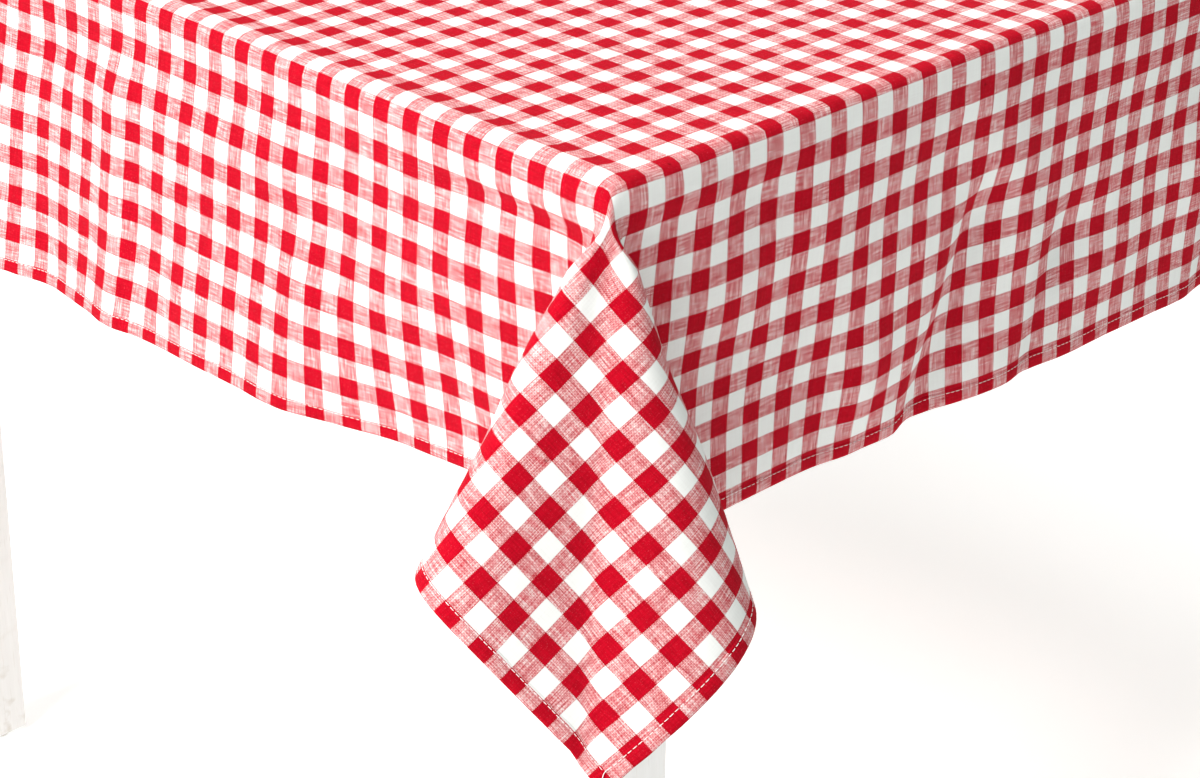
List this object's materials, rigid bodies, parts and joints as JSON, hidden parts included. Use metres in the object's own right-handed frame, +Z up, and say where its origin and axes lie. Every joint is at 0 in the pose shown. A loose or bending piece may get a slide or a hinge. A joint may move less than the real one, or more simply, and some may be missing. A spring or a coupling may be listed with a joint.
{
  "type": "tablecloth on a table",
  "caption": "Square wooden table covered by a loose checked cotton tablecloth that hangs over all four sides and folds out at the corners.",
  "frame": {"origin": "on the floor, under the middle of the table", "axes": "+Z up; +X to the table's right; -Y to its front; the table's sides are square to X and Y"},
  "size_m": [1.0396, 1.0396, 0.7513],
  "materials": {
    "top_wood": "satin lacquered solid wood",
    "frame_wood": "white satin paint on solid wood",
    "dowel_wood": "bare fluted beech",
    "bracket_steel": "zinc-plated pressed sheet steel",
    "zinc_steel": "zinc-plated steel",
    "glide_nylon": "moulded nylon",
    "cloth": "plain-woven yarn-dyed gingham, red and white"
  },
  "bodies": {
    "table": {"table_top": "top_wood", "apron_front": "frame_wood", "apron_right": "frame_wood", "apron_back": "frame_wood", "apron_left": "frame_wood", "leg_front_left": "frame_wood", "leg_front_right": "frame_wood", "leg_back_right": "frame_wood", "leg_back_left": "frame_wood", "corner_bracket_front_left": "bracket_steel", "corner_bracket_front_right": "bracket_steel", "corner_bracket_back_right": "bracket_steel", "corner_bracket_back_left": "bracket_steel", "top_clip_front_1": "bracket_steel", "top_clip_front_2": "bracket_steel", "top_clip_right_1": "bracket_steel", "top_clip_right_2": "bracket_steel", "top_clip_back_1": "bracket_steel", "top_clip_back_2": "bracket_steel", "top_clip_left_1": "bracket_steel", "top_clip_left_2": "bracket_steel", "glide_front_left": "glide_nylon", "glide_front_right": "glide_nylon", "glide_back_right": "glide_nylon", "glide_back_left": "glide_nylon", "apron_dowels": "dowel_wood", "hanger_bolts": "zinc_steel", "bolt_washers": "zinc_steel", "wing_nuts": "zinc_steel", "bracket_screws": "zinc_steel", "clip_apron_screws": "zinc_steel", "clip_top_screws": "zinc_steel"},
    "tablecloth": {"cloth_top_panel": "cloth", "cloth_drop_front": "cloth", "cloth_drop_right": "cloth", "cloth_drop_back": "cloth", "cloth_drop_left": "cloth", "cloth_corner_fold_front_left": "cloth", "cloth_corner_fold_front_right": "cloth", "cloth_corner_fold_back_right": "cloth", "cloth_corner_fold_back_left": "cloth", "cloth_corner_cap_front_left": "cloth", "cloth_corner_cap_front_right": "cloth", "cloth_corner_cap_back_right": "cloth", "cloth_corner_cap_back_left": "cloth"}
  },
  "joints": [
    {"name": "cloth_lift", "type": "slide", "parent": "table", "child": "tablecloth", "axis": [0, 0, 1], "range_m": [0, 0.36]}
  ]
}
